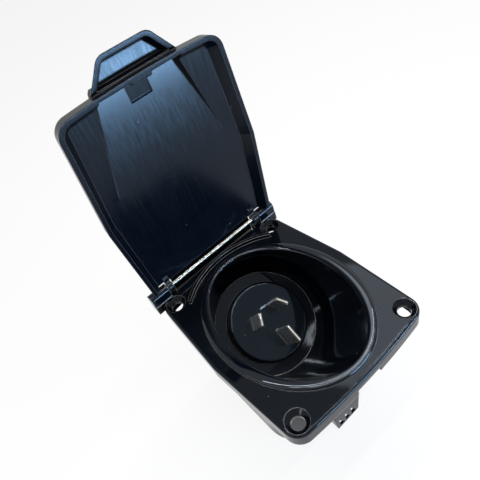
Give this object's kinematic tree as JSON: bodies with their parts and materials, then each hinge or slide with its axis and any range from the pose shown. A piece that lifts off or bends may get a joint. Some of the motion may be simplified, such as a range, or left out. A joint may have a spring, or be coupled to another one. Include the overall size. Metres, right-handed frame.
{
  "type": "power inlet",
  "caption": "Flush panel power inlet: black flange with a deep oval bowl, a tilted face with flat pins, a hinged lid with a finger tab, and a rear cover with a cord outlet.",
  "frame": {"origin": "centre of the flange's back plane, where the flange meets the panel", "axes": "+Z out of the panel through the front, +Y towards the lid's hinge, +X to the right seen from the front"},
  "size_m": [0.0788, 0.1001, 0.1817],
  "materials": {
    "shell_black": "gloss",
    "carrier_black": "gloss",
    "hinge_steel": "satin",
    "pin_metal": "plated",
    "terminal_brass": "satin",
    "screw_steel": "satin",
    "seal_rubber": "matt"
  },
  "bodies": {
    "base": {"housing": "shell_black", "rear_cover": "shell_black", "pin_carrier": "carrier_black", "cord_clamp": "carrier_black", "hinge_pin": "hinge_steel", "pin_active": "pin_metal", "pin_neutral": "pin_metal", "pin_earth": "pin_metal", "terminal_active": "terminal_brass", "terminal_neutral": "terminal_brass", "terminal_earth": "terminal_brass", "terminal_screws": "screw_steel", "carrier_screws": "screw_steel", "cover_screws": "screw_steel", "clamp_screws": "screw_steel", "carrier_seal": "seal_rubber"},
    "lid": {"lid": "shell_black"}
  },
  "joints": [
    {"name": "lid_hinge", "type": "hinge", "parent": "base", "child": "lid", "pos_m": [0, 0.047, 0.0118], "axis": [1, 0, 0], "range_deg": [0, 90]}
  ]
}
